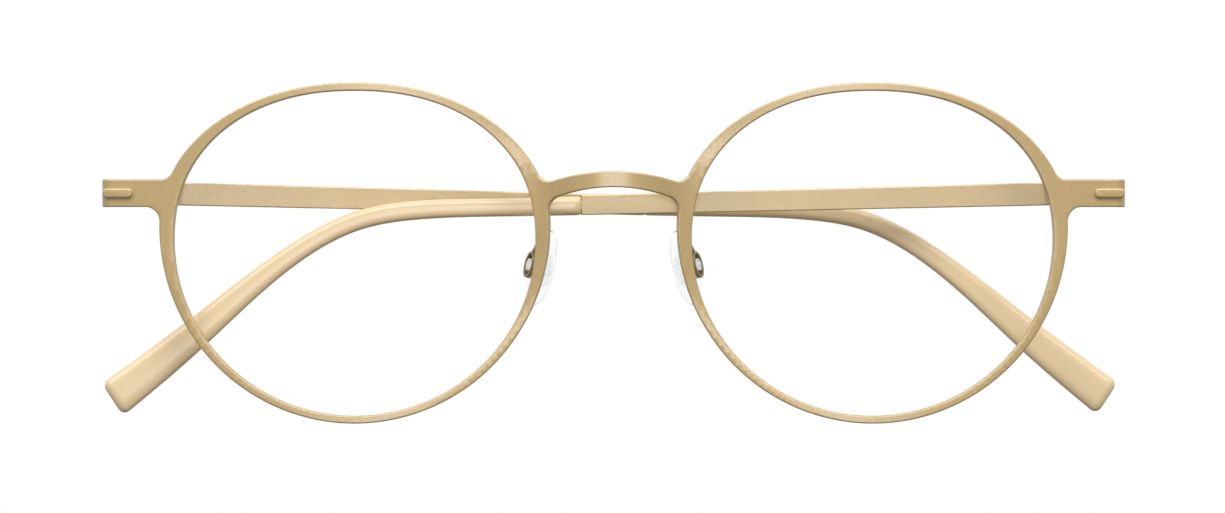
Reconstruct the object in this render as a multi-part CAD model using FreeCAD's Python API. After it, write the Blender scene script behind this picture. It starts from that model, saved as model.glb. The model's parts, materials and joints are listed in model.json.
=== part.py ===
import FreeCAD, Part
import math
import os

from FreeCAD import Vector

# Spectacle frame, temples folded. Millimetres. X runs across the face, Z is up, and the
# front looks along -Y. The origin is the centre of the folded frame: mid-bridge in X, the
# datum line through the lens centres in Z, and half the folded depth in Y.
# "Left" is the wearer's left, which is +X. Everything is drawn for the left side.

# ---------------------------------------------------------------- driving dimensions
FRONT_Y = -7.9             # mid-surface of the front sheet at a lens centre
SHEET = 1.0                # thickness of the front sheet
HALF_WIDTH = 69.0          # outside of the end pieces

LENS_X = 34.87             # lens centre from the middle of the frame
LENS_HALF_WIDTH = 24.38
LENS_WIDEST_Z = 1.8        # the opening is widest a little above the datum line
LENS_TOP = 20.05           # heights above and below the widest line
LENS_BOTTOM = 23.74
LENS_TOP_POWER = 2.2       # above 2 the upper half is fuller than an ellipse
RIM_HALF_WIDTH = 26.30
RIM_WIDEST_Z = 3.59
RIM_TOP = 19.32
RIM_BOTTOM = 26.54
RIM_TOP_POWER = 2.08

BRIDGE_TOP = 11.0          # height of the bridge's upper edge on the centre line
BRIDGE_UNDER = 8.85        # height of its under edge there
BRIDGE_TOP_RADIUS = 26.0
BRIDGE_UNDER_RADIUS = 22.0
BRIDGE_HALF = 9.6          # the bridge runs this far out, into the rims
SADDLE_FILLET = 1.8
SADDLE_WITHIN = 12.0       # the corners above the bridge lie inside this half width
SADDLE_ABOVE = 8.9
ARCH_FILLET = 1.9
ARCH_WITHIN = 9.5          # and those under it inside this one
ARCH_HEIGHTS = (4.0, 8.7)

END_LOW = 6.2              # end piece, lower and upper edge
END_HIGH = 9.94
END_MID = (END_LOW + END_HIGH) / 2
END_TOP_FILLET = 1.7
END_UNDER_FILLET = 1.9
ROOT_START = 58.0          # an end piece runs into its rim as far as this
ROOT_CORNERS = (58.5, 62.0)    # the corners it makes with the rim lie between these
END_START = 61.5           # the bowed sheet becomes a straight end piece here
END_BACK = 1.5             # and is this far behind the sheet at a lens centre
END_TILT = 6.0             # degrees that the end piece sweeps back
BEND_RADIUS = 0.8          # mid-surface radius where the end piece turns back

STUD_LENGTH = 4.1          # round-cornered stud through each end piece
STUD_HEIGHT = 1.37
STUD_PROUD = 0.6
STUD_CORNER = 0.45
STUD_EDGE = 0.2            # bevel of its front edge
STUD_X = 66.8

WIRE_WIDTH = 1.0           # eye wire behind each rim
WIRE_DEPTH = 1.7
BRAZE = 0.01               # joint between the sheet and the eye wire
GROOVE_DEPTH = 0.5
GROOVE_WIDTH = 0.8
SPLIT = 0.2                # gap between the two ends of an eye wire

HINGE_X = 66.2             # hinge axis
HINGE_BEHIND = 5.4         # hinge axis behind the sheet at a lens centre
HINGE_Y = FRONT_Y + HINGE_BEHIND
KNUCKLE_RADIUS = 1.1
KNUCKLE_TALL = 0.9
KNUCKLE_GAP = 0.12
SCREW_RADIUS = 0.55
SCREW_PLAY = 0.03
SCREW_HEAD_RADIUS = 0.95
SCREW_HEAD = 0.3
DRIVER_SLOT = 0.26         # width of the slots in the screw heads

STRIP = 0.9                # thickness of a temple strip
STRIP_OUT = 1.8            # its inner face from the hinge axis, temple open
STRIP_START = 0.3
SEAM = 70.6                # where the tip begins, along the temple from the hinge
CORE_END = 92.0            # end of the metal core inside the tip
CORE_HEIGHT = 1.3
CORE_DROP = 0.45           # the core leans down by this at its end, with the tip
TIP_THICK = 2.5
TIP_FILLET = 1.0
REAR_ANGLE = 3.8           # the right temple folds over the left one, at this angle

PAD_SPLAY = 25.0           # pads turn with the flanks of the nose
PAD_LEAN = 14.0            # and lean in at the top
PAD_CENTRE = Vector(9.65, FRONT_Y + 6.2, -2.0)
PAD_HALF_LENGTH = 5.15
PAD_HALF_WIDTH = 3.1
PAD_THICK = 1.5
PAD_ROUND = 0.7
PAD_STANDOFF = 1.35        # pad middle from the floor of its box
ARM_RADIUS = 0.45

X = Vector(1, 0, 0)
Y = Vector(0, 1, 0)
Z = Vector(0, 0, 1)
ORIGIN = Vector(0, 0, 0)
FAR = 60.0                 # longer than anything that is cut


# ---------------------------------------------------------------- small helpers
def block(x0, x1, y0, y1, z0, z1):
    return Part.makeBox(x1 - x0, y1 - y0, z1 - z0, Vector(x0, y0, z0))


def rod(start, end, radius):
    run = end - start
    return Part.makeCylinder(radius, run.Length, start, run)


def spline(points, closed=False, start_tangent=None, end_tangent=None):
    curve = Part.BSplineCurve()
    if closed:
        curve.interpolate(Points=points, PeriodicFlag=True)
    elif start_tangent:
        curve.interpolate(Points=points, InitialTangent=start_tangent, FinalTangent=end_tangent)
    else:
        curve.interpolate(Points=points)
    return curve


def prism(edges, run):
    return Part.Face(Part.Wire(Part.__sortEdges__(edges))).extrude(run)


def largest_solid(shape):
    return max(shape.Solids, key=lambda solid: solid.Volume)


def mirrored(shape):
    return shape.mirror(ORIGIN, X)


def edges_along(shape, direction, test):
    """Straight edges that run along a direction and whose middle passes a test."""
    found = []
    for edge in shape.Edges:
        if len(edge.Vertexes) < 2:
            continue
        run = edge.Vertexes[1].Point - edge.Vertexes[0].Point
        straight = run.Length > 0.999 * edge.Length
        if straight and run.normalize().cross(direction).Length < 1e-3 and test(edge.CenterOfMass):
            found.append(edge)
    return found


# ---------------------------------------------------------------- outlines seen from the front
def oval(half_width, widest_z, top, bottom, top_power, grow=0.0):
    """A closed curve round the left lens: an ellipse below its widest line, fuller above."""
    points = []
    steps = 48
    for i in range(steps):
        turn = 2 * math.pi * i / steps
        c, s = math.cos(turn), math.sin(turn)
        height, power = (top, top_power) if s >= 0 else (bottom, 2.0)
        reach = (abs(c / (half_width + grow)) ** power + abs(s / (height + grow)) ** power) ** (-1 / power)
        points.append(Vector(LENS_X + reach * c, 0, widest_z + reach * s))
    return spline(points, closed=True)


def lens_outline(grow=0.0):
    return oval(LENS_HALF_WIDTH, LENS_WIDEST_Z, LENS_TOP, LENS_BOTTOM, LENS_TOP_POWER, grow)


def oval_prism(curve):
    face = Part.Face(Part.Wire([curve.toShape()]))
    return face.extrude(Y * FAR).translate(Y * (-FAR / 2))


def rim_prism():
    return oval_prism(oval(RIM_HALF_WIDTH, RIM_WIDEST_Z, RIM_TOP, RIM_BOTTOM, RIM_TOP_POWER))


def arch_point(x, crown, radius):
    return Vector(x, -FAR / 2, crown - radius + math.sqrt(radius ** 2 - x ** 2))


def bridge_prism():
    top = [arch_point(x, BRIDGE_TOP, BRIDGE_TOP_RADIUS) for x in (-BRIDGE_HALF, 0, BRIDGE_HALF)]
    under = [arch_point(x, BRIDGE_UNDER, BRIDGE_UNDER_RADIUS) for x in (-BRIDGE_HALF, 0, BRIDGE_HALF)]
    edges = [
        Part.Arc(*top).toShape(),
        Part.Arc(*under).toShape(),
        Part.makeLine(top[0], under[0]),
        Part.makeLine(top[2], under[2]),
    ]
    return prism(edges, Y * FAR)


# ---------------------------------------------------------------- the front sheet seen from above
def end_tangents():
    """Directions of the sheet where it meets the right and the left end piece."""
    tilt = math.radians(END_TILT)
    return Vector(math.cos(tilt), -math.sin(tilt), 0), Vector(math.cos(tilt), math.sin(tilt), 0)


# The sheet's mid-surface: distance from the middle, and how far it lies behind FRONT_Y.
BOW = [(0, -1.5), (3.2, -1.35), (6.2, -0.5), (8.6, 0.45), (10.5, 0.88), (13, 1.0), (18, 0.72), (26, 0.2),
       (35, 0.0), (44, 0.18), (52, 0.63), (58, 1.14), (END_START, END_BACK)]


def middle_line():
    """Mid-surface of the sheet: the bridge arches forward and each rim is gently bowed."""
    right = [(-x, y) for x, y in reversed(BOW[1:])]
    points = [Vector(x, FRONT_Y + y, -FAR / 2) for x, y in right + BOW]
    first, last = end_tangents()
    return spline(points, start_tangent=first, end_tangent=last)


def offset_line(curve, distance, steps=96):
    points = []
    start_tangent, end_tangent = end_tangents()
    first, last = curve.FirstParameter, curve.LastParameter
    for i in range(steps + 1):
        at = first + (last - first) * i / steps
        tangent = curve.tangent(at)[0]
        points.append(curve.value(at) + Z.cross(tangent).normalize() * distance)
    return spline(points, start_tangent=start_tangent, end_tangent=end_tangent)


def band(front, back):
    """Everything between two distances behind the sheet's mid-surface, without the end pieces."""
    line = middle_line()
    near, far = offset_line(line, front), offset_line(line, back)
    edges = [
        near.toShape(),
        far.toShape(),
        Part.makeLine(near.StartPoint, far.StartPoint),
        Part.makeLine(near.EndPoint, far.EndPoint),
    ]
    return prism(edges, Z * FAR)


END_ROOT = Vector(END_START, FRONT_Y + END_BACK, 0)
RETURN_END = HINGE_Y - 0.1                   # the turned-back part stops at the hinge axis
RETURN_MID = HALF_WIDTH - SHEET / 2
ROOT_LAP = 0.5                               # the end piece starts this far inside the rim's sheet
ROOT_END = 64.6                              # past the fillets that join it to the rim


def swept_back(shape):
    """A shape drawn on a flat end piece, turned back with it."""
    shape = shape.copy()
    shape.rotate(END_ROOT, Z, END_TILT)
    return shape


def flat_end(length, start=0.0):
    """The end piece before its bend, from the rim outwards."""
    half = SHEET / 2
    near, far = END_ROOT.x + start, END_ROOT.x + length
    return swept_back(block(near, far, END_ROOT.y - half, END_ROOT.y + half, END_LOW, END_HIGH))


def end_piece_band():
    """The straight end piece, its bend and the part that turns back to the hinge."""
    half = SHEET / 2
    tilt = math.radians(END_TILT)
    along = Vector(math.cos(tilt), math.sin(tilt), 0)
    behind = Vector(-math.sin(tilt), math.cos(tilt), 0)
    centre_x = RETURN_MID - BEND_RADIUS
    centre_y = END_ROOT.y + (BEND_RADIUS + math.sin(tilt) * (centre_x - END_ROOT.x)) / math.cos(tilt)
    centre = Vector(centre_x, centre_y, END_LOW)
    length = (centre - behind * BEND_RADIUS - END_ROOT).dot(along)
    tall = END_HIGH - END_LOW
    turn = 90 - END_TILT
    bend = Part.makeCylinder(BEND_RADIUS + half, tall, centre, Z, turn)
    bend = bend.cut(Part.makeCylinder(BEND_RADIUS - half, tall, centre, Z, turn))
    bend.rotate(centre, Z, -turn)
    back = block(HALF_WIDTH - SHEET, HALF_WIDTH, centre.y, RETURN_END, END_LOW, END_HIGH)
    return flat_end(length, -ROOT_LAP).fuse([bend, back]).removeSplitter()


def stud_bar(front, back):
    """A round-cornered bar through the end piece, between two distances behind its middle."""
    half_long = STUD_LENGTH / 2
    half_tall = STUD_HEIGHT / 2
    bar = block(STUD_X - half_long, STUD_X + half_long, END_ROOT.y + front, END_ROOT.y + back,
                END_MID - half_tall, END_MID + half_tall)
    return bar.makeFillet(STUD_CORNER, edges_along(bar, Y, lambda p: True))


def round_corners(plate, radius, test):
    return plate.makeFillet(radius, edges_along(plate, Y, test))


def under_bridge(p):
    return abs(p.x) < ARCH_WITHIN and ARCH_HEIGHTS[0] < p.z < ARCH_HEIGHTS[1]


def at_root(p):
    return ROOT_CORNERS[0] < abs(p.x) < ROOT_CORNERS[1]


def flat_front():
    """Rims, bridge and the roots of the end pieces as seen from the front, without depth."""
    rims = rim_prism()
    flat = rims.fuse([mirrored(rims), bridge_prism()])
    for side in (-1, 1):
        near, far = sorted((side * ROOT_START, side * ROOT_END))
        flat = flat.fuse(block(near, far, -FAR / 2, FAR / 2, END_LOW, END_HIGH))
    flat = flat.removeSplitter()
    flat = round_corners(flat, SADDLE_FILLET, lambda p: abs(p.x) < SADDLE_WITHIN and p.z > SADDLE_ABOVE)
    flat = round_corners(flat, ARCH_FILLET, under_bridge)
    flat = round_corners(flat, END_TOP_FILLET, lambda p: at_root(p) and p.z > END_MID)
    flat = round_corners(flat, END_UNDER_FILLET, lambda p: at_root(p) and p.z < END_MID)
    opening = oval_prism(lens_outline())
    return flat.cut(opening).cut(mirrored(opening))


def front_plate():
    flat = flat_front()
    middle = block(-END_START, END_START, -FAR / 2, FAR / 2, -FAR, FAR)
    sheet = flat.common(middle).common(band(-SHEET / 2, SHEET / 2))
    # what is left of the root fillets beyond the bowed part
    tall_root = block(END_START, ROOT_END, END_ROOT.y - SHEET / 2, END_ROOT.y + SHEET / 2, 0, 20)
    ends = end_piece_band().fuse(flat.common(swept_back(tall_root)))
    sheet = sheet.fuse([ends, mirrored(ends)]).removeSplitter()
    slot = swept_back(stud_bar(-SHEET, SHEET / 2))
    return sheet.cut(slot).cut(mirrored(slot))


def end_stud():
    """A round-cornered stud that passes through the end piece and holds the hinge leaf behind it."""
    front = -SHEET / 2 - STUD_PROUD
    stud = stud_bar(front, SHEET / 2)
    rim = [edge for edge in stud.Edges if edge.BoundBox.YMax < END_ROOT.y + front + 1e-3]
    return swept_back(stud.makeChamfer(STUD_EDGE, rim))


# ---------------------------------------------------------------- eye wire and closing block
def eye_wire():
    ring = oval_prism(lens_outline(WIRE_WIDTH)).cut(oval_prism(lens_outline()))
    back = SHEET / 2 + WIRE_DEPTH
    ring = ring.common(band(SHEET / 2 + BRAZE, back))
    groove = oval_prism(lens_outline(GROOVE_DEPTH))
    start = SHEET / 2 + (WIRE_DEPTH - GROOVE_WIDTH) / 2
    ring = ring.cut(groove.common(band(start, start + GROOVE_WIDTH)))
    split = block(LENS_X + LENS_HALF_WIDTH / 2, HALF_WIDTH, -FAR / 2, FAR / 2,
                  END_MID - SPLIT / 2, END_MID + SPLIT / 2)
    return ring.cut(split)


CLOSER_X = (59.2, 61.9)                      # closing block behind the end piece
CLOSER_Y = (END_ROOT.y + SHEET / 2, END_ROOT.y + SHEET / 2 + 1.9)
CLOSER_HIGH = END_HIGH - 0.1
CLOSER_LOW = END_LOW + 0.6
CLOSER_SCREW = Vector(60.9, sum(CLOSER_Y) / 2, END_LOW + 0.1)
CLOSER_SCREW_RADIUS = 0.5
CLOSER_SCREW_LONG = 3.1
CLOSER_HEAD_RADIUS = 0.85
CLOSER_HEAD = 0.5


def closing_block(upper, wire):
    low, high = (END_MID + SPLIT / 2, CLOSER_HIGH) if upper else (CLOSER_LOW, END_MID - SPLIT / 2)
    body = block(*CLOSER_X, *CLOSER_Y, low, high)
    body = body.cut(wire).cut(band(-SHEET / 2, SHEET / 2)).cut(end_piece_band())
    body = body.cut(Part.makeCylinder(CLOSER_SCREW_RADIUS, CLOSER_SCREW_LONG, CLOSER_SCREW, Z))
    return largest_solid(body)


def closing_screw():
    """The screw that holds the two closing blocks together, its slotted head underneath."""
    head = Part.makeCylinder(CLOSER_HEAD_RADIUS, CLOSER_HEAD, CLOSER_SCREW, Z)
    shank = Part.makeCylinder(CLOSER_SCREW_RADIUS, CLOSER_SCREW_LONG, CLOSER_SCREW, Z)
    half = DRIVER_SLOT / 2
    slot = block(-1, 1, -half, half, 0, CLOSER_HEAD / 2).translate(CLOSER_SCREW)
    return head.fuse(shank).cut(slot).removeSplitter()


# ---------------------------------------------------------------- hinge
KNUCKLE_LOW = END_MID - KNUCKLE_TALL / 2 - KNUCKLE_GAP - KNUCKLE_TALL
KNUCKLE_HIGH = END_MID + KNUCKLE_TALL / 2 + KNUCKLE_GAP
AXIS = Vector(HINGE_X, HINGE_Y, 0)
LEAF_PLATE = 0.8                             # thickness of the plate on the temple's leaf
LEAF_START, LEAF_END = 1.5, 7.5              # that plate, behind the hinge axis
LEAF_HALF_TALL = 1.15
WEB_END = 2.2                                # the web between the plate and the knuckle


def barrel(radius, low, tall):
    return Part.makeCylinder(radius, tall, AXIS + Z * low, Z)


def front_leaf():
    """Two knuckles and the block that joins them to the back of the end piece."""
    low, high = KNUCKLE_LOW, KNUCKLE_HIGH + KNUCKLE_TALL
    front = END_ROOT.y + SHEET / 2
    root = block(HINGE_X - KNUCKLE_RADIUS, HALF_WIDTH - SHEET, front, HINGE_Y, low, high)
    leaf = root.fuse(barrel(KNUCKLE_RADIUS, low, high - low))
    leaf = leaf.cut(end_piece_band())
    gap_low = END_MID - KNUCKLE_TALL / 2 - KNUCKLE_GAP
    leaf = leaf.cut(barrel(KNUCKLE_RADIUS + 0.15, gap_low, KNUCKLE_TALL + 2 * KNUCKLE_GAP))
    # room behind the axis for the temple's own knuckle and its web
    leaf = leaf.cut(block(HINGE_X - 3, HINGE_X + 3, HINGE_Y, HINGE_Y + 3, gap_low,
                          gap_low + KNUCKLE_TALL + 2 * KNUCKLE_GAP))
    leaf = leaf.cut(barrel(SCREW_RADIUS, low - 1, high - low + 2))
    return leaf.removeSplitter()


def hinge_screw():
    low, high = KNUCKLE_LOW, KNUCKLE_HIGH + KNUCKLE_TALL
    screw = barrel(SCREW_RADIUS, low + 0.15, high - low - 0.15)
    head = barrel(SCREW_HEAD_RADIUS, high, SCREW_HEAD)
    half = DRIVER_SLOT / 2
    slot = block(-1.2, 1.2, -half, half, high + SCREW_HEAD / 2, high + 1).translate(AXIS)
    return screw.fuse(head).cut(slot).removeSplitter()


# The temple is drawn open: it runs back along +Y from the hinge axis.
def folded(shape):
    shape = shape.copy()
    shape.rotate(AXIS, Z, 90)
    return shape


def temple_leaf():
    low = END_MID - KNUCKLE_TALL / 2
    knuckle = barrel(KNUCKLE_RADIUS, low, KNUCKLE_TALL)
    outside = HINGE_X + STRIP_OUT
    web = block(HINGE_X, outside, HINGE_Y + 0.1, HINGE_Y + WEB_END, low, low + KNUCKLE_TALL)
    plate = block(outside - LEAF_PLATE, outside, HINGE_Y + LEAF_START, HINGE_Y + LEAF_END,
                  END_MID - LEAF_HALF_TALL, END_MID + LEAF_HALF_TALL)
    corners = edges_along(plate, X, lambda p: p.y > HINGE_Y + LEAF_START + 1)
    plate = plate.makeFillet(LEAF_PLATE, corners)
    leaf = knuckle.fuse([web, plate])
    return leaf.cut(barrel(SCREW_RADIUS + SCREW_PLAY, low - 1, KNUCKLE_TALL + 2)).removeSplitter()


def side_view(points):
    """Points (distance from the hinge, height) in the plane of the open strip's inner face."""
    return [Vector(HINGE_X + STRIP_OUT, HINGE_Y + u, z) for u, z in points]


def plate_of(points):
    """A flat piece as thick as the strip, from its side view."""
    outline = Part.makePolygon(side_view(points + points[:1]))
    return Part.Face(outline).extrude(X * STRIP)


STRIP_TOP = (9.75, 7.85)                     # height at the hinge and at the seam
STRIP_UNDER = (6.6, 5.15)


def temple_strip():
    """The flat metal strip, and the narrower core that runs on inside the tip."""
    corners = [
        (STRIP_START, STRIP_TOP[0]),
        (SEAM, STRIP_TOP[1]),
        (SEAM, STRIP_UNDER[1]),
        (STRIP_START, STRIP_UNDER[0]),
    ]
    mid = (STRIP_TOP[1] + STRIP_UNDER[1]) / 2
    half = CORE_HEIGHT / 2
    core = [
        (SEAM, mid - half),
        (SEAM, mid + half),
        (CORE_END, mid + half - CORE_DROP),
        (CORE_END, mid - half - CORE_DROP),
    ]
    return plate_of(corners).fuse(plate_of(core)).removeSplitter()


# Upper and lower edge of a tip: distance from the hinge, height.
TIP_UPPER = [(SEAM, 7.7), (81, 7.42), (93, 7.1), (100.3, 5.93), (109, 1.84), (122.6, -8.1),
             (135.6, -17.7)]
TIP_LOWER = [(SEAM, 5.12), (81, 4.95), (93, 4.5), (100.3, 3.2), (109, -1.43), (122.6, -13.5),
             (132.7, -22.1)]
TIP_CORNER = 1.2


def temple_tip(strip):
    upper = spline(side_view(TIP_UPPER))
    lower = spline(side_view(TIP_LOWER))
    edges = [
        upper.toShape(),
        lower.toShape(),
        Part.makeLine(upper.StartPoint, lower.StartPoint),
        Part.makeLine(upper.EndPoint, lower.EndPoint),
    ]
    tip = prism(edges, X * TIP_THICK)
    tip.translate(X * ((STRIP - TIP_THICK) / 2))
    tip = tip.makeFillet(TIP_CORNER, edges_along(tip, X, lambda p: p.z < 0))
    past_seam = HINGE_Y + SEAM + 1
    outer = [edge for edge in tip.Edges if edge.Length > 2.0 and edge.CenterOfMass.y > past_seam]
    return tip.makeFillet(TIP_FILLET, outer).cut(strip)


# ---------------------------------------------------------------- nose pads
def pad_axes():
    """Directions of a left pad: towards the nose, across the pad, and up along it."""
    lean = math.radians(PAD_LEAN)
    splay = math.radians(PAD_SPLAY)
    up = Vector(-math.sin(lean), 0, math.cos(lean))
    inward = Vector(-math.cos(lean), 0, -math.sin(lean))
    facing = inward * math.cos(splay) + Y * math.sin(splay)
    return facing, up.cross(facing), up


FACING, ACROSS, UP = pad_axes()
PAD_FLOOR = PAD_CENTRE - FACING * PAD_STANDOFF


def on_pad(forward, across=0.0, up=0.0):
    return PAD_FLOOR + FACING * forward + ACROSS * across + UP * up


def pad_oval(start, end, half_width, half_length):
    ellipse = Part.Ellipse(on_pad(start, 0, half_length), on_pad(start, half_width, 0), on_pad(start))
    return Part.Face(Part.Wire([ellipse.toShape()])).extrude(FACING * (end - start))


BOX_HALF = (1.28, 1.82)                      # half width and half length of the box
BOX_BACK, BOX_FRONT = -0.85, 0.2             # its two faces, from the floor the pad sits on
BOX_WALL = 0.32
RECESS_FLOOR = -0.25
PAD_HOLE = 0.7                               # the screw rocks in this hole
PAD_SCREW_HEAD = (-0.75, -0.42)              # back and front of its head
PAD_SCREW_END = 1.3
PAD_SCREW_HEAD_RADIUS = 0.85
PAD_SCREW_RADIUS = 0.38
INSERT_BOSS = (0.4, 1.0)                     # the insert's boss, back and front
INSERT_PLATE = (0.9, 1.3)
INSERT_RADIUS = 0.8
INSERT_HALF = (1.5, 3.2)                     # half width and half length of its plate


ARM_START = Vector(9.95, FRONT_Y + 2.6, 1.2)
ARM_ELBOW = Vector(10.05, FRONT_Y + 4.4, 1.1)
ARM_FOOT = (-0.4, 0, 1.85)                   # forward, across and up from the box's floor


def pad_box():
    cup = pad_oval(BOX_BACK, BOX_FRONT, *BOX_HALF)
    recess = pad_oval(BOX_BACK - 0.1, RECESS_FLOOR, BOX_HALF[0] - BOX_WALL, BOX_HALF[1] - BOX_WALL)
    return cup.cut(recess).cut(rod(on_pad(-2), on_pad(2), PAD_HOLE))


def pad_screw():
    """A slotted screw: its head in the box's recess, its shank in the pad's insert."""
    back, front = PAD_SCREW_HEAD
    middle = (back + front) / 2
    head = rod(on_pad(back), on_pad(front), PAD_SCREW_HEAD_RADIUS)
    shank = rod(on_pad(middle), on_pad(PAD_SCREW_END), PAD_SCREW_RADIUS)
    half = DRIVER_SLOT / 2
    slot = block(-half, half, -1, 1, back - middle, middle - back)
    slot.Placement = FreeCAD.Placement(on_pad(back), FreeCAD.Rotation(ACROSS, UP, FACING, "ZXY"))
    return head.fuse(shank).cut(slot).removeSplitter()


def pad_insert():
    boss = rod(on_pad(INSERT_BOSS[0]), on_pad(INSERT_BOSS[1]), INSERT_RADIUS)
    plate = pad_oval(*INSERT_PLATE, *INSERT_HALF)
    return boss.fuse(plate).cut(pad_screw()).removeSplitter()


def nose_pad():
    back = PAD_STANDOFF - PAD_THICK / 2
    pad = pad_oval(back, back + PAD_THICK, PAD_HALF_WIDTH, PAD_HALF_LENGTH)
    rims = [edge for edge in pad.Edges if edge.isClosed()]
    pad = pad.makeFillet(PAD_ROUND, rims)
    hollow = pad_insert().fuse(pad_screw()).removeSplitter()
    hollow = hollow.fuse(rod(on_pad(back - 0.1), on_pad(INSERT_BOSS[1]), INSERT_RADIUS))
    return pad.cut(hollow)


def pad_arm(wire):
    """A round wire from the back of the eye wire, bent down to the top of the pad's box."""
    route = [ARM_START, ARM_ELBOW, on_pad(*ARM_FOOT)]
    arm = rod(route[0], route[1], ARM_RADIUS).fuse(rod(route[1], route[2], ARM_RADIUS))
    arm = arm.fuse(Part.makeSphere(ARM_RADIUS, route[1])).fuse(Part.makeSphere(ARM_RADIUS, route[2]))
    inside_box = pad_oval(BOX_BACK - 0.1, BOX_FRONT, BOX_HALF[0] - 0.1, BOX_HALF[1] - 0.1)
    arm = arm.removeSplitter().cut(wire).cut(pad_box()).cut(inside_box)
    return largest_solid(arm)


# ---------------------------------------------------------------- assembly
def left_static():
    wire = eye_wire()
    return {
        "eye_wire": wire,
        "closing_block_upper": closing_block(True, wire),
        "closing_block_lower": closing_block(False, wire),
        "closing_screw": closing_screw(),
        "end_stud": end_stud(),
        "front_hinge_leaf": front_leaf(),
        "hinge_screw": hinge_screw(),
        "pad_arm": pad_arm(wire),
        "pad_box": pad_box(),
        "pad_screw": pad_screw(),
        "pad_insert": pad_insert(),
        "nose_pad": nose_pad(),
    }


def left_temple():
    strip = temple_strip()
    pieces = {
        "temple_hinge_leaf": temple_leaf(),
        "temple_strip": strip,
        "temple_tip": temple_tip(strip),
    }
    return {name: folded(shape) for name, shape in pieces.items()}


def build():
    nodes = {"front_plate": front_plate()}
    static = left_static()
    temple = left_temple()
    for name, shape in {**static, **temple}.items():
        nodes["left_" + name] = shape
        nodes["right_" + name] = mirrored(shape)
    right_axis = Vector(-HINGE_X, HINGE_Y, 0)
    for name in temple:
        nodes["right_" + name].rotate(right_axis, Z, REAR_ANGLE)
    return nodes


os.makedirs("parts", exist_ok=True)
for node, shape in build().items():
    solids = shape.Solids
    box = shape.BoundBox
    state = "valid" if shape.isValid() else "NOT VALID"
    print(f"{node:28s} {len(solids)} solid, {shape.Volume:9.2f} mm3, {state}, "
          f"y {box.YMin:7.2f} to {box.YMax:7.2f}")
    (solids[0] if len(solids) == 1 else shape).exportStep(f"parts/{node}.step")
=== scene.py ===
import json
import math

import bmesh
import bpy
import numpy as np
from mathutils import Matrix, Vector
from mathutils.geometry import tessellate_polygon


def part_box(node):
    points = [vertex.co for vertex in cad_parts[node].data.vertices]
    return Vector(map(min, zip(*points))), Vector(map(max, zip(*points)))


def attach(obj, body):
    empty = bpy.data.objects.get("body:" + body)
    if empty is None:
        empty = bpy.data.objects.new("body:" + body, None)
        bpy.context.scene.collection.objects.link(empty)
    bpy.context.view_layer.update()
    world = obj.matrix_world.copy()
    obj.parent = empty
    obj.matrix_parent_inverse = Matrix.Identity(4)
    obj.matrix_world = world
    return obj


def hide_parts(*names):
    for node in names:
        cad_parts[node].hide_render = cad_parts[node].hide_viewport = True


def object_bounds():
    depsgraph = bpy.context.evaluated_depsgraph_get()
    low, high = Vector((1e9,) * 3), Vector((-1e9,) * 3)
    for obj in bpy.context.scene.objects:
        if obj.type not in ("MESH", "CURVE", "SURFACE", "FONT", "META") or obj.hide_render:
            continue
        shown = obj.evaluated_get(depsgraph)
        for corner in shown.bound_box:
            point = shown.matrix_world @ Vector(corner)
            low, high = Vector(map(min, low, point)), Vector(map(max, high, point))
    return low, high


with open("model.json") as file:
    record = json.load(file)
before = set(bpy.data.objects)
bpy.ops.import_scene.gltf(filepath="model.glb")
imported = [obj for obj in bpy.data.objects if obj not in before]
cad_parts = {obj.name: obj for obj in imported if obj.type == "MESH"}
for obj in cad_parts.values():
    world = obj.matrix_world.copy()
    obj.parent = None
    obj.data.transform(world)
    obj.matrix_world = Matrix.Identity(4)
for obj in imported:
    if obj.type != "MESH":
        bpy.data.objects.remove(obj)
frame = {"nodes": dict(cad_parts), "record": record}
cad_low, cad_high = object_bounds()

# Metres. X runs across the face towards the wearer's left, Z is up, the front looks along -Y.
MM = 0.001
record = frame["record"]
joints = {joint["name"]: joint for joint in record["behaviour"]["joints"]}
SIDES = {"left": 1, "right": -1}

# ---------------------------------------------------------------- places read from the frame
HINGE = Vector(joints["left_temple_hinge"]["pos_m"])
REAR_ANGLE = math.radians(90 - joints["right_temple_hinge"]["range_deg"][1])
PLATE_LOW, PLATE_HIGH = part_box("front_plate")
HALF_WIDTH = PLATE_HIGH.x

# ---------------------------------------------------------------- front sheet, as the part has it
SHEET = 1.0 * MM
FRONT_Y = HINGE.y - 5.4 * MM           # mid-surface of the sheet at a lens centre
END_START = 61.5 * MM                  # the bowed sheet becomes a straight end piece here
END_TILT = math.radians(6)             # and sweeps back by this
END_LOW, END_HIGH = 6.2 * MM, 9.94 * MM
END_TOP_FILLET = 1.7 * MM
END_UNDER_FILLET = 1.9 * MM
END_CORNER = 0.45 * MM
BEND_RADIUS = 0.8 * MM
RETURN_END = HINGE.y - 0.1 * MM
LENS_X = 34.87 * MM
LENS = dict(half_width=24.38 * MM, widest=1.8 * MM, top=20.05 * MM, bottom=23.74 * MM, power=2.2)
RIM = dict(half_width=26.30 * MM, widest=3.59 * MM, top=19.32 * MM, bottom=26.54 * MM, power=2.08)
BRIDGE_TOP, BRIDGE_TOP_RADIUS = 11.0 * MM, 26.0 * MM
BRIDGE_UNDER, BRIDGE_UNDER_RADIUS = 8.85 * MM, 22.0 * MM
SADDLE_FILLET = 1.8 * MM
ARCH_FILLET = 1.9 * MM
EDGE_ROUND = 0.17 * MM                 # rounding of the sheet's edges
# Mid-surface of the sheet, in mm: distance from the middle, and how far it lies behind FRONT_Y.
BOW = [(0, -1.5), (3.2, -1.35), (6.2, -0.5), (8.6, 0.45), (10.5, 0.88), (13, 1.0), (18, 0.72), (26, 0.2),
       (35, 0.0), (44, 0.18), (52, 0.63), (58, 1.14), (61.5, 1.5)]

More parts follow.
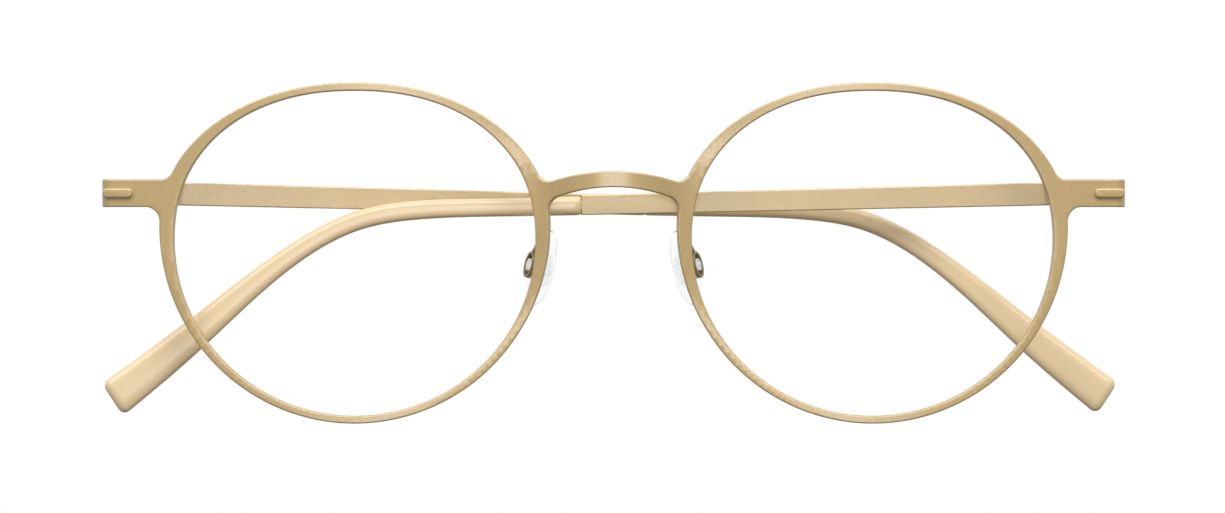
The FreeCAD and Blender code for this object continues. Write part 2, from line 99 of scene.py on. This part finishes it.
STUD_LENGTH = 4.1 * MM
STUD_HEIGHT = 1.37 * MM
STUD_PROUD = 0.6 * MM
STUD_CORNER = 0.6 * MM
STUD_EDGE = 0.28 * MM
STUD_X = 66.8 * MM

# ---------------------------------------------------------------- temple tips
# Upper and lower edge of a tip, in mm: distance from the hinge, height.
TIP_UPPER = [(70.6, 7.7), (81, 7.42), (93, 7.1), (100.3, 5.93), (109, 1.84), (122.6, -8.1), (135.6, -17.7)]
TIP_LOWER = [(70.6, 5.12), (81, 4.95), (93, 4.5), (100.3, 3.2), (109, -1.43), (122.6, -13.5),
             (132.7, -22.1)]
TIP_OUT = 2.25 * MM                    # middle of a temple from the hinge axis
TIP_HALF_THICK = 1.25 * MM
TIP_FULLNESS = 3.2                     # 2 would be an ellipse, more is squarer
TIP_END_ROUND = 1.15 * MM
TIP_SEAM_ROUND = 0.85 * MM

# ---------------------------------------------------------------- nose pads
PAD_SPLAY = math.radians(25)
PAD_LEAN = math.radians(14)
PAD_CENTRE = Vector((9.65 * MM, FRONT_Y + 6.2 * MM, -2.0 * MM))
PAD_STANDOFF = 1.35 * MM
PAD_HALF_LENGTH = 5.15 * MM
PAD_HALF_WIDTH = 3.1 * MM
PAD_HALF_THICK = 0.75 * MM
PAD_CROWN = 0.8                        # powers that shape its crown and its rim: smaller is squarer
PAD_RIM = 0.42
PAD_TAPER = 0.10                       # it is this much narrower at the top, and wider at the bottom

ARM_RADIUS = 0.45 * MM
ARM_START = Vector((9.95 * MM, FRONT_Y + 2.7 * MM, 1.2 * MM))    # on the back of the eye wire
ARM_ELBOW = Vector((10.05 * MM, FRONT_Y + 4.5 * MM, 1.2 * MM))
ARM_FOOT = (-0.35 * MM, 0, 1.65 * MM)                            # measured from the floor of the pad's box


# ---------------------------------------------------------------- curves
def smooth_through(knots, values, start=None, end=None):
    """A cubic spline through the values; start and end are its end slopes, or free."""
    t = np.asarray(knots, float)
    y = np.asarray(values, float)
    h = np.diff(t)
    n = len(t)
    matrix = np.zeros((n, n))
    right = np.zeros(n)
    for i in range(1, n - 1):
        matrix[i, i - 1:i + 2] = 1 / h[i - 1], 2 / h[i - 1] + 2 / h[i], 1 / h[i]
        right[i] = 3 * ((y[i] - y[i - 1]) / h[i - 1] ** 2 + (y[i + 1] - y[i]) / h[i] ** 2)
    matrix[0, :2] = (1, 0) if start is not None else (2, 1)
    right[0] = start if start is not None else 3 * (y[1] - y[0]) / h[0]
    matrix[-1, -2:] = (0, 1) if end is not None else (1, 2)
    right[-1] = end if end is not None else 3 * (y[-1] - y[-2]) / h[-1]
    slopes = np.linalg.solve(matrix, right)

    def at(x):
        x = np.clip(x, t[0], t[-1])
        i = np.clip(np.searchsorted(t, x) - 1, 0, n - 2)
        s = (x - t[i]) / h[i]
        return ((1 + 2 * s) * (1 - s) ** 2 * y[i] + s * (1 - s) ** 2 * h[i] * slopes[i]
                + s * s * (3 - 2 * s) * y[i + 1] + s * s * (s - 1) * h[i] * slopes[i + 1])
    return at


def curve_through(points):
    """A plane curve through points, by distance along them; returns it and its length."""
    steps = np.hypot(*np.diff(np.array(points), axis=0).T)
    along = np.concatenate([[0], np.cumsum(steps)])
    first = smooth_through(along, [p[0] for p in points])
    second = smooth_through(along, [p[1] for p in points])
    return (lambda t: Vector((float(first(t)), float(second(t))))), along[-1]


def oval(turn, half_width, widest, top, bottom, power):
    """Point of a rim or lens outline on the left side, as (x, z)."""
    c, s = math.cos(turn), math.sin(turn)
    height, power = (top, power) if s >= 0 else (bottom, 2.0)
    reach = (abs(c / half_width) ** power + abs(s / height) ** power) ** (-1 / power)
    return Vector((LENS_X + reach * c, widest + reach * s))


def oval_normal(turn, shape):
    """Outward unit normal of a rim or lens outline."""
    step = 1e-4
    run = oval(turn + step, **shape) - oval(turn - step, **shape)
    return Vector((run.y, -run.x)).normalized()


def arc(centre, start, end, steps):
    """Points on the shorter way round a circle from start to end."""
    a = math.atan2(start.y - centre.y, start.x - centre.x)
    b = math.atan2(end.y - centre.y, end.x - centre.x)
    turn = (b - a + math.pi) % (2 * math.pi) - math.pi
    radius = (start - centre).length
    return [centre + radius * Vector((math.cos(a + turn * i / steps), math.sin(a + turn * i / steps)))
            for i in range(steps + 1)]


def rim_fillet(radius, low, high, miss):
    """The turn at which a circle that touches the rim outside also meets something else, and its centre.

    miss(centre) is negative at low and positive at high.
    """
    for _ in range(50):
        turn = (low + high) / 2
        centre = oval(turn, **RIM) + oval_normal(turn, RIM) * radius
        low, high = (turn, high) if miss(centre) < 0 else (low, turn)
    return turn, centre


# ---------------------------------------------------------------- the sheet's outline
def half_outline():
    """The sheet's outline on the left side, laid flat: from the top of the bridge round to its under side."""
    top_centre = Vector((0, BRIDGE_TOP - BRIDGE_TOP_RADIUS))
    under_centre = Vector((0, BRIDGE_UNDER - BRIDGE_UNDER_RADIUS))
    saddle_turn, saddle = rim_fillet(
        SADDLE_FILLET, math.radians(172), math.radians(110),
        lambda c: (c - top_centre).length - BRIDGE_TOP_RADIUS - SADDLE_FILLET)
    high_turn, high = rim_fillet(
        END_TOP_FILLET, math.radians(4), math.radians(60), lambda c: c.y - END_HIGH - END_TOP_FILLET)
    low_turn, low = rim_fillet(
        END_UNDER_FILLET, math.radians(-40), math.radians(30), lambda c: c.y - END_LOW + END_UNDER_FILLET)
    arch_turn, arch = rim_fillet(
        ARCH_FILLET, math.radians(-140), math.radians(-190),
        lambda c: (c - under_centre).length - BRIDGE_UNDER_RADIUS + ARCH_FILLET)
    saddle_foot = top_centre + (saddle - top_centre).normalized() * BRIDGE_TOP_RADIUS
    arch_foot = under_centre + (arch - under_centre).normalized() * BRIDGE_UNDER_RADIUS
    end = END_START + END_STRAIGHT + BEND_RADIUS * END_TURN + RETURN_END - BEND_CENTRE.y

    def run(first, last, steps):
        return [oval(first + (last - first) * i / steps, **RIM) for i in range(steps + 1)]

    def corner(z, up):
        inside = Vector((end - END_CORNER, z - up * END_CORNER))
        return inside + Vector((0, up * END_CORNER)), inside, inside + Vector((END_CORNER, 0))

    above, above_centre, above_side = corner(END_HIGH, 1)
    below, below_centre, below_side = corner(END_LOW, -1)
    pieces = [
        arc(top_centre, Vector((0, BRIDGE_TOP)), saddle_foot, 16),
        arc(saddle, saddle_foot, oval(saddle_turn, **RIM), 14),
        run(saddle_turn, high_turn, 150),
        arc(high, oval(high_turn, **RIM), Vector((high.x, END_HIGH)), 12),
        arc(above_centre, above, above_side, 6),
        arc(below_centre, below_side, below, 6),
        arc(low, Vector((low.x, END_LOW)), oval(low_turn, **RIM), 14),
        run(low_turn, arch_turn, 210),
        arc(arch, oval(arch_turn, **RIM), arch_foot, 16),
        arc(under_centre, arch_foot, Vector((0, BRIDGE_UNDER)), 16),
    ]
    points = []
    for piece in pieces:
        for point in piece:
            if not points or (point - points[-1]).length > 1e-7:
                points.append(point)
    return points


def sheet_loops():
    """The outline and the two lens openings, laid flat, each a closed list of (x, z)."""
    left = half_outline()
    right = [Vector((-p.x, p.y)) for p in reversed(left)]
    outline = left + right[1:-1]
    steps = 260
    opening = [oval(2 * math.pi * i / steps, **LENS) for i in range(steps)]
    return [outline, opening, [Vector((-p.x, p.y)) for p in opening]]


def inward(loop, hole):
    """Unit normals of a closed loop that point into the metal."""
    area = sum(a.x * b.y - b.x * a.y for a, b in zip(loop, loop[1:] + loop[:1]))
    sign = 1 if (area > 0) != hole else -1
    normals = []
    for before, after in zip(loop[-1:] + loop[:-1], loop[1:] + loop[:1]):
        run = (after - before).normalized()
        normals.append(Vector((-run.y, run.x)) * sign)
    return normals


bow_height = smooth_through([x * MM for x, _ in BOW], [y * MM for _, y in BOW], 0, math.tan(END_TILT))

# the end piece: straight along END_ALONG, then turned through END_TURN to run straight back
END_ROOT = Vector((END_START, FRONT_Y + BOW[-1][1] * MM))
END_ALONG = Vector((math.cos(END_TILT), math.sin(END_TILT)))
END_BEHIND = Vector((-math.sin(END_TILT), math.cos(END_TILT)))
END_TURN = math.pi / 2 - END_TILT
BEND_X = HALF_WIDTH - SHEET / 2 - BEND_RADIUS
BEND_RISE = (BEND_RADIUS + math.sin(END_TILT) * (BEND_X - END_START)) / math.cos(END_TILT)
BEND_CENTRE = Vector((BEND_X, END_ROOT.y + BEND_RISE))
END_STRAIGHT = (BEND_CENTRE - END_BEHIND * BEND_RADIUS - END_ROOT).dot(END_ALONG)


def bend(x, depth, z):
    """Where a point of the flat sheet goes once the sheet is bowed and its ends are turned back."""
    side, x = (1, x) if x >= 0 else (-1, -x)
    if x <= END_START:
        step = 1e-5
        slope = 0.0 if x < step else float(bow_height(x + step / 2) - bow_height(x - step / 2)) / step
        if x > END_START - step:
            slope = math.tan(END_TILT)
        scale = 1 / math.hypot(1, slope)
        behind = FRONT_Y + float(bow_height(x)) + depth * scale
        return Vector((side * (x - depth * slope * scale), behind, z))
    along = x - END_START
    if along <= END_STRAIGHT:
        place = END_ROOT + END_ALONG * along + END_BEHIND * depth
        return Vector((side * place.x, place.y, z))
    turn = min((along - END_STRAIGHT) / BEND_RADIUS, END_TURN)
    rest = along - END_STRAIGHT - turn * BEND_RADIUS
    reach = BEND_RADIUS - depth
    out = END_TILT + turn
    behind = BEND_CENTRE.y - reach * math.cos(out) + rest
    return Vector((side * (BEND_CENTRE.x + reach * math.sin(out)), behind, z))


def sheet_profile(steps=4):
    """Inset and depth across the sheet's edge, from its front face to its back face."""
    half = SHEET / 2
    turns = [math.pi / 2 * i / steps for i in range(steps + 1)]
    front = [(EDGE_ROUND * (1 - math.sin(a)), EDGE_ROUND * (1 - math.cos(a)) - half) for a in turns]
    return front + [(inset, -depth) for inset, depth in reversed(front)]


def front_sheet():
    """The bent front sheet, with rounded edges: drawn flat, then bowed."""
    loops = sheet_loops()
    bm = bmesh.new()
    rings = []
    for number, loop in enumerate(loops):
        normals = inward(loop, hole=number > 0)
        rings.append([[bm.verts.new((p.x + n.x * inset, depth, p.y + n.y * inset))
                       for p, n in zip(loop, normals)]
                      for inset, depth in sheet_profile()])
    for ring in rings:
        for near, far in zip(ring, ring[1:]):
            for i in range(len(near)):
                bm.faces.new((near[i - 1], near[i], far[i], far[i - 1]))
    for level in (0, -1):
        flat = [ring[level] for ring in rings]
        vertices = [v for loop in flat for v in loop]
        for face in tessellate_polygon([[Vector((v.co.x, v.co.z, 0)) for v in loop] for loop in flat]):
            bm.faces.new([vertices[i] for i in face])
    cuts = list(np.linspace(-END_START, END_START, 165))
    bends = np.linspace(END_START + END_STRAIGHT, END_START + END_STRAIGHT + BEND_RADIUS * END_TURN, 13)
    for x in cuts + list(bends) + list(-bends):
        bmesh.ops.bisect_plane(bm, geom=bm.verts[:] + bm.edges[:] + bm.faces[:], dist=1e-8,
                               plane_co=(x, 0, 0), plane_no=(1, 0, 0))
    for vertex in bm.verts:
        vertex.co = bend(*vertex.co)
    bmesh.ops.recalc_face_normals(bm, faces=bm.faces[:])
    return add_piece("front_sheet", bm, weighted=True)


# ---------------------------------------------------------------- making pieces
def add_piece(name, bm, weighted=False):
    mesh = bpy.data.meshes.new(name)
    bm.to_mesh(mesh)
    bm.free()
    mesh.shade_smooth()
    piece = bpy.data.objects.new(name, mesh)
    bpy.context.scene.collection.objects.link(piece)
    if weighted:
        weights = piece.modifiers.new("weights", "WEIGHTED_NORMAL")
        weights.keep_sharp = True
    return piece


def dress(piece, material):
    piece.data.materials.clear()
    piece.data.materials.append(material)


def hand_in(piece, material, body, slot, *nodes):
    """A finished piece: its material, the body it rides on and the CAD nodes it stands for."""
    dress(piece, material)
    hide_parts(*nodes)
    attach(piece, body)


def skin(sections):
    """Quads between rings of points, closed at both ends."""
    bm = bmesh.new()
    rings = [[bm.verts.new(p) for p in section] for section in sections]
    for near, far in zip(rings, rings[1:]):
        for i in range(len(near)):
            bm.faces.new((near[i - 1], near[i], far[i], far[i - 1]))
    for ring in (rings[0], rings[-1]):
        middle = bm.verts.new(sum((v.co for v in ring), Vector()) / len(ring))
        for i in range(len(ring)):
            bm.faces.new((ring[i - 1], ring[i], middle))
    bmesh.ops.recalc_face_normals(bm, faces=bm.faces[:])
    return bm


def on_temple(side, along, out, z):
    """A point of a folded temple: distance from the hinge, distance behind the hinge axis, height."""
    if side > 0:
        return Vector((HINGE.x - along, HINGE.y + out, z))
    c, s = math.cos(REAR_ANGLE), math.sin(REAR_ANGLE)
    return Vector((-HINGE.x + along * c - out * s, HINGE.y + along * s + out * c, z))


def rounded_section(tall, thick, steps=44):
    """A soft bar section as (across, deep) points: gently crowned faces, full round edges."""
    points = []
    for i in range(steps):
        turn = 2 * math.pi * i / steps
        c, s = math.cos(turn), math.sin(turn)
        points.append((math.copysign(abs(c) ** (2 / TIP_FULLNESS), c) * tall,
                       math.copysign(abs(s) ** (2 / TIP_FULLNESS), s) * thick))
    return points


def round_off(left, radius):
    """How much a rounded end takes off at this distance from it."""
    return radius - math.sqrt(max(radius ** 2 - max(0.0, radius - left) ** 2, 0))


def temple_tip(name, side):
    """A moulded tip: a rounded bar whose height follows its two edges, with a rounded end."""
    upper, upper_length = curve_through(TIP_UPPER)
    lower, lower_length = curve_through(TIP_LOWER)
    length = (upper_length + lower_length) / 2 * MM
    seam = [TIP_SEAM_ROUND * (1 - math.cos(math.pi / 2 * i / 10)) for i in range(10)]
    body = list(np.linspace(TIP_SEAM_ROUND, length - TIP_END_ROUND, 170))
    end = [length - TIP_END_ROUND * (1 - math.sin(math.pi / 2 * i / 12)) for i in range(1, 13)]
    sections = []
    for at in seam + body + end:
        share = at / length
        high = upper(share * upper_length) * MM
        low = lower(share * lower_length) * MM
        middle = (high + low) / 2
        half = (high - low) / 2
        cut = round_off(length - at, TIP_END_ROUND)
        collar = round_off(at, TIP_SEAM_ROUND)
        tall = half.length - cut - collar * 0.25
        thick = TIP_HALF_THICK - cut * 0.9 - collar * 0.7
        sections.append([on_temple(side, middle.x + half.x / half.length * across, TIP_OUT + deep,
                                   middle.y + half.y / half.length * across)
                         for across, deep in rounded_section(tall, thick)])
    return add_piece(name, skin(sections))


def end_stud(name, side):
    """The round-cornered stud on an end piece, its front edges softened."""
    front = -SHEET / 2 - STUD_PROUD
    middle_x = STUD_X - END_START
    middle_z = (END_LOW + END_HIGH) / 2
    turns = [math.pi / 2 * i / 7 for i in range(8)]
    levels = [(STUD_EDGE * (1 - math.sin(a)), front + STUD_EDGE * (1 - math.cos(a))) for a in turns]
    sections = []
    for inset, depth in levels + [(0, 0), (0, SHEET / 2)]:
        radius = STUD_CORNER - inset
        straight_x = STUD_LENGTH / 2 - STUD_CORNER
        straight_z = STUD_HEIGHT / 2 - STUD_CORNER
        ring = []
        for corner, (right, up) in enumerate(((1, 1), (-1, 1), (-1, -1), (1, -1))):
            for i in range(9):
                turn = math.pi / 2 * (corner + i / 8)
                along = middle_x + right * straight_x + radius * math.cos(turn)
                z = middle_z + up * straight_z + radius * math.sin(turn)
                place = END_ROOT + END_ALONG * along + END_BEHIND * depth
                ring.append(Vector((side * place.x, place.y, z)))
        sections.append(ring)
    return add_piece(name, skin(sections), weighted=True)


# ---------------------------------------------------------------- nose pads
def pad_axes(side):
    """Directions of a pad: towards the nose, across the pad, and up along it."""
    up = Vector((-side * math.sin(PAD_LEAN), 0, math.cos(PAD_LEAN)))
    inside = Vector((-side * math.cos(PAD_LEAN), 0, -math.sin(PAD_LEAN)))
    facing = inside * math.cos(PAD_SPLAY) + Vector((0, 1, 0)) * math.sin(PAD_SPLAY)
    return facing, up.cross(facing) * side, up


def on_pad(side, forward, across=0.0, up=0.0):
    """A point measured from the floor of a pad's box."""
    facing, sideways, upward = pad_axes(side)
    centre = Vector((side * PAD_CENTRE.x, PAD_CENTRE.y, PAD_CENTRE.z))
    return centre + facing * (forward - PAD_STANDOFF) + sideways * across + upward * up


def nose_pad(name, side):
    """A soft drop-shaped pad, crowned towards the nose."""
    sections = []
    levels = 18
    for k in range(1, levels):
        angle = math.pi * k / levels
        crown = math.copysign(abs(math.cos(angle)) ** PAD_CROWN, math.cos(angle))
        forward = PAD_STANDOFF - PAD_HALF_THICK * crown
        share = math.sin(angle) ** PAD_RIM
        ring = []
        for i in range(56):
            turn = 2 * math.pi * i / 56
            c, s = math.cos(turn), math.sin(turn)
            wide = PAD_HALF_WIDTH * (1 - PAD_TAPER * s)
            ring.append(on_pad(side, forward, wide * c * share, PAD_HALF_LENGTH * s * share))
        sections.append(ring)
    return add_piece(name, skin(sections))


def pad_arm(name, side):
    """A round wire from the back of the eye wire, bent down to the pad's box."""
    start, elbow = (Vector((side * p.x, p.y, p.z)) for p in (ARM_START, ARM_ELBOW))
    end = on_pad(side, *ARM_FOOT)
    route = [start, start.lerp(elbow, 0.5), elbow, elbow.lerp(end, 0.55), end]
    curve = bpy.data.curves.new(name, "CURVE")
    curve.dimensions = "3D"
    curve.bevel_depth = ARM_RADIUS
    curve.bevel_resolution = 6
    curve.resolution_u = 16
    curve.use_fill_caps = True
    spline = curve.splines.new("NURBS")
    spline.points.add(len(route) - 1)
    for point, place in zip(spline.points, route):
        point.co = (*place, 1)
    spline.order_u = 3
    spline.use_endpoint_u = True
    holder = bpy.data.objects.new(name + "_path", curve)
    bpy.context.scene.collection.objects.link(holder)
    mesh = bpy.data.meshes.new_from_object(holder.evaluated_get(bpy.context.evaluated_depsgraph_get()))
    bpy.data.objects.remove(holder)
    mesh.shade_smooth()
    mesh.name = name
    piece = bpy.data.objects.new(name, mesh)
    bpy.context.scene.collection.objects.link(piece)
    return piece


# ---------------------------------------------------------------- materials
def new_material(name):
    material = bpy.data.materials.new(name)
    material.use_nodes = True
    tree = material.node_tree
    shader = tree.nodes["Principled BSDF"]
    place = tree.nodes.new("ShaderNodeTexCoord")
    return material, tree, shader, place.outputs["Object"]


def noise(tree, place, scale, detail=3.0, roughness=0.55):
    node = tree.nodes.new("ShaderNodeTexNoise")
    node.inputs["Scale"].default_value = scale
    node.inputs["Detail"].default_value = detail
    node.inputs["Roughness"].default_value = roughness
    tree.links.new(place, node.inputs["Vector"])
    return node.outputs["Fac"]


def ramp(tree, fac, stops):
    node = tree.nodes.new("ShaderNodeValToRGB")
    elements = node.color_ramp.elements
    while len(elements) < len(stops):
        elements.new(0.5)
    for element, (position, color) in zip(elements, stops):
        element.position = position
        element.color = (*color, 1)
    tree.links.new(fac, node.inputs["Fac"])
    return node.outputs["Color"]


def spread(tree, fac, low, high):
    node = tree.nodes.new("ShaderNodeMapRange")
    node.inputs["From Min"].default_value = 0.3
    node.inputs["From Max"].default_value = 0.7
    node.inputs["To Min"].default_value = low
    node.inputs["To Max"].default_value = high
    tree.links.new(fac, node.inputs["Value"])
    return node.outputs["Result"]


def bump(tree, shader, height, strength, distance):
    node = tree.nodes.new("ShaderNodeBump")
    node.inputs["Strength"].default_value = strength
    node.inputs["Distance"].default_value = distance
    tree.links.new(height, node.inputs["Height"])
    tree.links.new(node.outputs["Normal"], shader.inputs["Normal"])


def multiply(tree, first, second):
    node = tree.nodes.new("ShaderNodeMix")
    node.data_type = "RGBA"
    node.blend_type = "MULTIPLY"
    node.inputs["Factor"].default_value = 1.0
    tree.links.new(first, node.inputs["A"])
    tree.links.new(second, node.inputs["B"])
    return node.outputs["Result"]


def satin_gold(name, tone=1.0, coat_roughness=0.24):
    """Champagne-gold lacquer over metal: a fine sparkle, a broader mottle and a satin sheen."""
    material, tree, shader, place = new_material(name)
    dark = tuple(tone * c for c in (0.520, 0.365, 0.142))
    light = tuple(tone * c for c in (0.570, 0.412, 0.178))
    grain = noise(tree, place, 2600, 4.0, 0.7)
    color = ramp(tree, grain, [(0.30, dark), (0.70, light)])
    broad = noise(tree, place, 140, 2.0)
    mottle = ramp(tree, broad, [(0.35, (0.95, 0.945, 0.93)), (0.65, (1.0, 1.0, 1.0))])
    tree.links.new(multiply(tree, color, mottle), shader.inputs["Base Color"])
    tree.links.new(spread(tree, grain, 0.50, 0.42), shader.inputs["Roughness"])
    shader.inputs["Metallic"].default_value = 0.5
    shader.inputs["Coat Weight"].default_value = 1.0
    shader.inputs["Coat IOR"].default_value = 1.8
    shader.inputs["Coat Roughness"].default_value = coat_roughness
    bump(tree, shader, noise(tree, place, 4200, 3.0, 0.65), 0.05, 0.00002)
    return material


def cream_plastic():
    """Smooth moulded plastic with a soft sheen and a faint orange peel."""
    material, tree, shader, place = new_material("cream_plastic")
    tone = noise(tree, place, 60, 3.0)
    color = ramp(tree, tone, [(0.35, (0.780, 0.600, 0.350)), (0.65, (0.805, 0.625, 0.372))])
    tree.links.new(color, shader.inputs["Base Color"])
    tree.links.new(spread(tree, noise(tree, place, 300, 2.0), 0.39, 0.41), shader.inputs["Roughness"])
    shader.inputs["Coat Weight"].default_value = 1.0
    shader.inputs["Coat IOR"].default_value = 1.5
    shader.inputs["Coat Roughness"].default_value = 0.19
    bump(tree, shader, noise(tree, place, 1500, 2.0), 0.015, 0.00002)
    return material


def bright_steel():
    """Turned steel for the small screws."""
    material, tree, shader, place = new_material("bright_steel")
    turned = noise(tree, place, 2500, 3.0)
    tree.links.new(ramp(tree, turned, [(0.35, (0.80, 0.80, 0.81)), (0.65, (0.97, 0.97, 0.98))]),
                   shader.inputs["Base Color"])
    tree.links.new(spread(tree, turned, 0.16, 0.30), shader.inputs["Roughness"])
    shader.inputs["Metallic"].default_value = 0.45
    bump(tree, shader, noise(tree, place, 1800, 2.0), 0.25, 0.00003)
    return material


def clear_silicone():
    """Clear soft silicone: nearly invisible face-on, grey where it is seen edge-on."""
    material, tree, shader, place = new_material("clear_silicone")
    cloud = noise(tree, place, 400, 3.0)
    tree.links.new(ramp(tree, cloud, [(0.3, (0.93, 0.94, 0.945)), (0.7, (0.97, 0.975, 0.98))]),
                   shader.inputs["Base Color"])
    tree.links.new(spread(tree, cloud, 0.05, 0.14), shader.inputs["Roughness"])
    shader.inputs["Transmission Weight"].default_value = 1.0
    shader.inputs["IOR"].default_value = 1.16
    bump(tree, shader, noise(tree, place, 900, 2.0), 0.06, 0.00003)
    return material


# ---------------------------------------------------------------- camera, light and stage
CAMERA_DISTANCE = 1.0
VIEW_WIDTH = 164.5 * MM                # what the camera sees across, at the front of the frame
AIM = Vector((-0.15 * MM, 0, -0.47 * MM))


def camera():
    data = bpy.data.cameras.new("camera")
    data.sensor_width = 36
    data.lens = data.sensor_width * CAMERA_DISTANCE / VIEW_WIDTH
    data.clip_end = 20
    eye = bpy.data.objects.new("camera", data)
    eye.location = AIM + Vector((0, PLATE_LOW.y - CAMERA_DISTANCE, 0))
    eye.rotation_euler = (math.pi / 2, 0, 0)
    bpy.context.scene.collection.objects.link(eye)
    bpy.context.scene.camera = eye


def soft_light(name, place, size, watts):
    data = bpy.data.lights.new(name, "AREA")
    data.shape = "RECTANGLE"
    data.size, data.size_y = size
    data.energy = watts
    lamp = bpy.data.objects.new(name, data)
    lamp.location = place
    lamp.rotation_euler = (-Vector(place)).to_track_quat("-Z", "Y").to_euler()
    bpy.context.scene.collection.objects.link(lamp)


def studio():
    """Two softboxes in a pale room that is darker below; the camera sees plain white behind the object."""
    soft_light("top_softbox", (0, -0.90, 0.80), (1.8, 0.60), 12.5)
    soft_light("front_softbox", (0, -1.35, 0.02), (0.20, 0.34), 1.15)
    world = bpy.data.worlds.new("studio")
    world.use_nodes = True
    tree = world.node_tree
    backdrop = tree.nodes["Background"]
    backdrop.inputs["Color"].default_value = (1, 1, 1, 1)
    room = tree.nodes.new("ShaderNodeBackground")
    place = tree.nodes.new("ShaderNodeTexCoord")
    split = tree.nodes.new("ShaderNodeSeparateXYZ")
    tree.links.new(place.outputs["Generated"], split.inputs[0])
    height = tree.nodes.new("ShaderNodeMapRange")
    height.inputs["From Min"].default_value = -1
    height.inputs["From Max"].default_value = 1
    tree.links.new(split.outputs["Z"], height.inputs["Value"])
    levels = [
        (0.0, (0.12, 0.11, 0.10)),
        (0.30, (0.30, 0.28, 0.26)),
        (0.50, (0.62, 0.60, 0.58)),
        (0.80, (0.90, 0.90, 0.90)),
        (1.0, (0.95, 0.95, 0.95)),
    ]
    walls = ramp(tree, height.outputs["Result"], levels)
    depth = tree.nodes.new("ShaderNodeMapRange")
    depth.interpolation_type = "SMOOTHSTEP"
    depth.inputs["From Min"].default_value = -1
    depth.inputs["From Max"].default_value = 0.1
    depth.inputs["To Min"].default_value = 0.78
    depth.inputs["To Max"].default_value = 1.05
    tree.links.new(split.outputs["Y"], depth.inputs["Value"])
    tree.links.new(depth.outputs["Result"], room.inputs["Strength"])
    tree.links.new(walls, room.inputs["Color"])
    path = tree.nodes.new("ShaderNodeLightPath")
    seen = tree.nodes.new("ShaderNodeMath")
    seen.operation = "MAXIMUM"
    tree.links.new(path.outputs["Is Camera Ray"], seen.inputs[0])
    tree.links.new(path.outputs["Is Transmission Ray"], seen.inputs[1])
    mix = tree.nodes.new("ShaderNodeMixShader")
    tree.links.new(seen.outputs[0], mix.inputs["Fac"])
    tree.links.new(room.outputs[0], mix.inputs[1])
    tree.links.new(backdrop.outputs[0], mix.inputs[2])
    tree.links.new(mix.outputs[0], tree.nodes["World Output"].inputs["Surface"])
    bpy.context.scene.world = world
    bpy.context.scene.view_settings.view_transform = "Standard"


FLOOR_DROP = 0.25                      # the floor lies this far under the frame


def floor():
    material, tree, shader, place = new_material("pale_floor")
    tone = noise(tree, place, 3, 2.0)
    color = ramp(tree, tone, [(0.3, (0.90, 0.90, 0.90)), (0.7, (0.93, 0.93, 0.93))])
    tree.links.new(color, shader.inputs["Base Color"])
    shader.inputs["Roughness"].default_value = 0.9
    shader.inputs["Emission Color"].default_value = (1, 1, 1, 1)
    shader.inputs["Emission Strength"].default_value = 0.35
    bm = bmesh.new()
    bmesh.ops.create_circle(bm, cap_ends=True, segments=96, radius=4)
    piece = add_piece("floor", bm)
    piece.location.z = cad_low.z - FLOOR_DROP
    piece.visible_glossy = False
    piece.visible_diffuse = False
    dress(piece, material)


# ---------------------------------------------------------------- CAD nodes that stay
def keep_node(node, material, rounding):
    """A CAD node as it is, with its hard edges rounded a little and a finished material."""
    piece = frame["nodes"][node]
    dress(piece, material)
    weld = piece.modifiers.new("weld", "WELD")
    weld.merge_threshold = 1e-6
    edge = piece.modifiers.new("edge", "BEVEL")
    edge.width = rounding
    edge.segments = 2
    edge.limit_method = "ANGLE"
    edge.angle_limit = math.radians(40)
    edge.use_clamp_overlap = True
    weights = piece.modifiers.new("weights", "WEIGHTED_NORMAL")
    weights.keep_sharp = True


# ---------------------------------------------------------------- assembly
camera()
studio()
floor()
gold = satin_gold("satin_gold")
strip_gold = satin_gold("strip_gold", 1.0, 0.28)
# the frame's gold darkened to 0.55 for the pad boxes and pad arms: painted shade for where they sit behind
# the bridge
painted_shade_gold = satin_gold("painted_shade_gold", 0.55)
plastic = cream_plastic()
steel = bright_steel()
silicone = clear_silicone()

hand_in(front_sheet(), gold, "front", "gold_metal", "front_plate")
for name, side in SIDES.items():
    tip = name + "_temple_tip"
    hand_in(temple_tip(tip + "_moulded", side), plastic, name + "_temple", "tip_plastic", tip)
    pad = name + "_nose_pad"
    hand_in(nose_pad(pad + "_soft", side), silicone, name + "_pad", "pad_silicone", pad)
    arm = name + "_pad_arm"
    hand_in(pad_arm(arm + "_wire", side), painted_shade_gold, "front", "gold_metal", arm)
    for part in ("eye_wire", "closing_block_upper", "closing_block_lower", "front_hinge_leaf",
                 "temple_hinge_leaf"):
        keep_node(f"{name}_{part}", gold, 0.06 * MM)
    keep_node(name + "_pad_box", painted_shade_gold, 0.06 * MM)
    stud = name + "_end_stud"
    hand_in(end_stud(stud + "_soft", side), gold, "front", "gold_metal", stud)
    keep_node(f"{name}_temple_strip", strip_gold, 0.14 * MM)
    for part in ("closing_screw", "hinge_screw", "pad_screw", "pad_insert"):
        keep_node(f"{name}_{part}", steel, 0.04 * MM)
